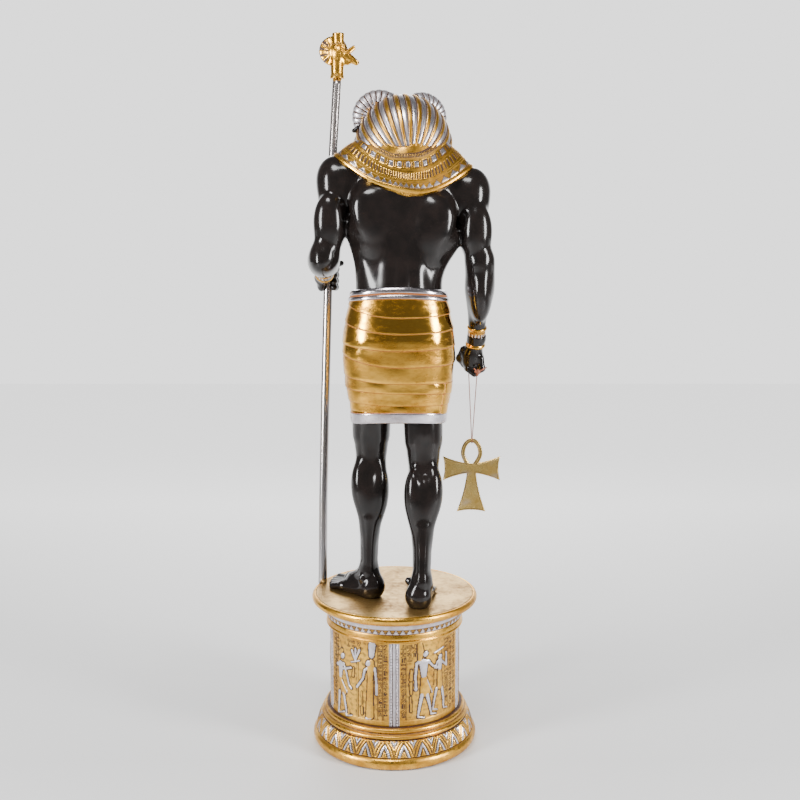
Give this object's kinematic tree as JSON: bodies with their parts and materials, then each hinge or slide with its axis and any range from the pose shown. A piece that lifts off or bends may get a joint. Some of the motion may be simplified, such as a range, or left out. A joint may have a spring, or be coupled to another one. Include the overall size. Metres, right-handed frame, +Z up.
{
  "type": "khnum statue",
  "caption": "Standing ram-headed god in a pleated gilt kilt and broad collar, holding a tall ram-topped staff and a hanging looped cross, on a round carved plinth.",
  "frame": {"origin": "middle of the plinth's underside", "axes": "+Z up, the figure looks toward -Y, its left hand with the staff is on +X"},
  "size_m": [0.637, 0.56, 2.3866],
  "materials": {
    "gilt_plinth": "gilt over cast resin, worn, with brown patina in the carving",
    "black_gloss": "gloss black cast resin with gilt and silvered dress",
    "steel_tube": "silvered tube, slightly tarnished",
    "gilt_trim": "gilt, worn, brown in the hollows",
    "thong": "matt brown leather thong"
  },
  "bodies": {
    "root": {"plinth": "gilt_plinth", "figure": "black_gloss", "staff_rod": "steel_tube", "staff_finial": "gilt_trim", "ankh": "gilt_trim", "ankh_cord": "thong", "cord_knot": "thong"}
  },
  "joints": []
}
